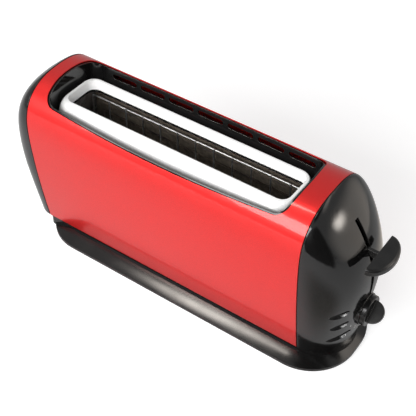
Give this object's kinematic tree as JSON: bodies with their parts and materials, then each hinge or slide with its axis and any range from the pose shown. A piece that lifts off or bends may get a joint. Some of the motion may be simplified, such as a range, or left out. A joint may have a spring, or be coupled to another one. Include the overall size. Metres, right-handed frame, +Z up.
{
  "type": "toaster",
  "caption": "Slim long-slot toaster with a domed red metal shell, black end caps, bright slot collar, lift lever, browning dial, push buttons and a pull-out crumb tray.",
  "frame": {"origin": "on the surface the toaster stands on, under the middle of its overall length and width", "axes": "+X towards the control end with the lever, +Y to the rear, +Z up"},
  "size_m": [0.3995, 0.11, 0.1816],
  "materials": {
    "red_lacquer": "metallic gloss lacquer",
    "black_gloss": "high gloss",
    "black_satin": "satin",
    "bright_steel": "bright satin",
    "zinc_steel": "plated sheet and wire",
    "mica": "dull mica sheet",
    "heater_alloy": "oxidised ribbon",
    "white_nylon": "natural nylon",
    "grey_phenolic": "moulded",
    "board_laminate": "paper laminate",
    "magnet_coil": "enamelled winding",
    "black_rubber": "matt rubber"
  },
  "bodies": {
    "housing": {"outer_shell": "red_lacquer", "control_end_cap": "black_gloss", "plain_end_cap": "black_gloss", "top_bezel": "black_gloss", "base_plate": "black_gloss", "slot_collar": "bright_steel", "rubber_feet": "black_rubber", "control_end_plate": "zinc_steel", "plain_end_plate": "zinc_steel", "base_screws": "zinc_steel", "carriage_guide_rod": "bright_steel", "electromagnet": "magnet_coil", "return_spring": "zinc_steel", "potentiometer": "grey_phenolic", "control_board": "board_laminate", "button_switches": "grey_phenolic", "cord_gland": "black_rubber", "terminal_block": "white_nylon", "front_reflector": "bright_steel", "rear_reflector": "bright_steel", "front_heater_card": "mica", "rear_heater_card": "mica", "front_heater_ribbon": "heater_alloy", "rear_heater_ribbon": "heater_alloy"},
    "carriage": {"carriage_slider": "white_nylon", "lift_rack": "zinc_steel", "lever_arm": "black_satin", "lever_paddle": "black_satin", "armature_plate": "zinc_steel"},
    "dial": {"browning_knob": "black_satin", "dial_shaft": "white_nylon"},
    "defrost_key": {"defrost_button": "black_gloss"},
    "reheat_key": {"reheat_button": "black_gloss"},
    "stop_key": {"stop_button": "black_gloss"},
    "tray": {"crumb_tray": "black_satin"},
    "front_grille": {"front_guide": "zinc_steel"},
    "rear_grille": {"rear_guide": "zinc_steel"}
  },
  "joints": [
    {"name": "carriage_slide", "type": "slide", "parent": "housing", "child": "carriage", "axis": [0, 0, 1], "range_m": [-0.048, 0.018], "stiffness_N_per_m": 60, "springref_m": 0.0079, "deforming": ["return_spring"]},
    {"name": "front_guide_tilt", "type": "hinge", "parent": "housing", "child": "front_grille", "pos_m": [-0.0194, -0.0222, 0.04], "axis": [1, 0, 0], "range_deg": [-4.8, 1.7]},
    {"name": "rear_guide_tilt", "type": "hinge", "parent": "housing", "child": "rear_grille", "pos_m": [-0.0194, 0.0222, 0.04], "axis": [1, 0, 0], "range_deg": [-1.7, 4.8]},
    {"name": "dial_turn", "type": "hinge", "parent": "housing", "child": "dial", "pos_m": [0.1846, 0, 0.0605], "axis": [1, 0, 0], "range_deg": [-150, 120]},
    {"name": "tray_slide", "type": "slide", "parent": "housing", "child": "tray", "axis": [-1, 0, 0], "range_m": [0, 0.25]},
    {"name": "defrost_press", "type": "slide", "parent": "housing", "child": "defrost_key", "axis": [-1, 0, 0], "range_m": [0, 0.0018], "stiffness_N_per_m": 600, "springref_m": -0.001},
    {"name": "reheat_press", "type": "slide", "parent": "housing", "child": "reheat_key", "axis": [-1, 0, 0], "range_m": [0, 0.0018], "stiffness_N_per_m": 600, "springref_m": -0.001},
    {"name": "stop_press", "type": "slide", "parent": "housing", "child": "stop_key", "axis": [-1, 0, 0], "range_m": [0, 0.0018], "stiffness_N_per_m": 600, "springref_m": -0.001}
  ],
  "couplings": [
    {"joint": "front_guide_tilt", "follows": "carriage_slide", "rad_per_m": 1.6},
    {"joint": "rear_guide_tilt", "follows": "carriage_slide", "rad_per_m": -1.6}
  ]
}
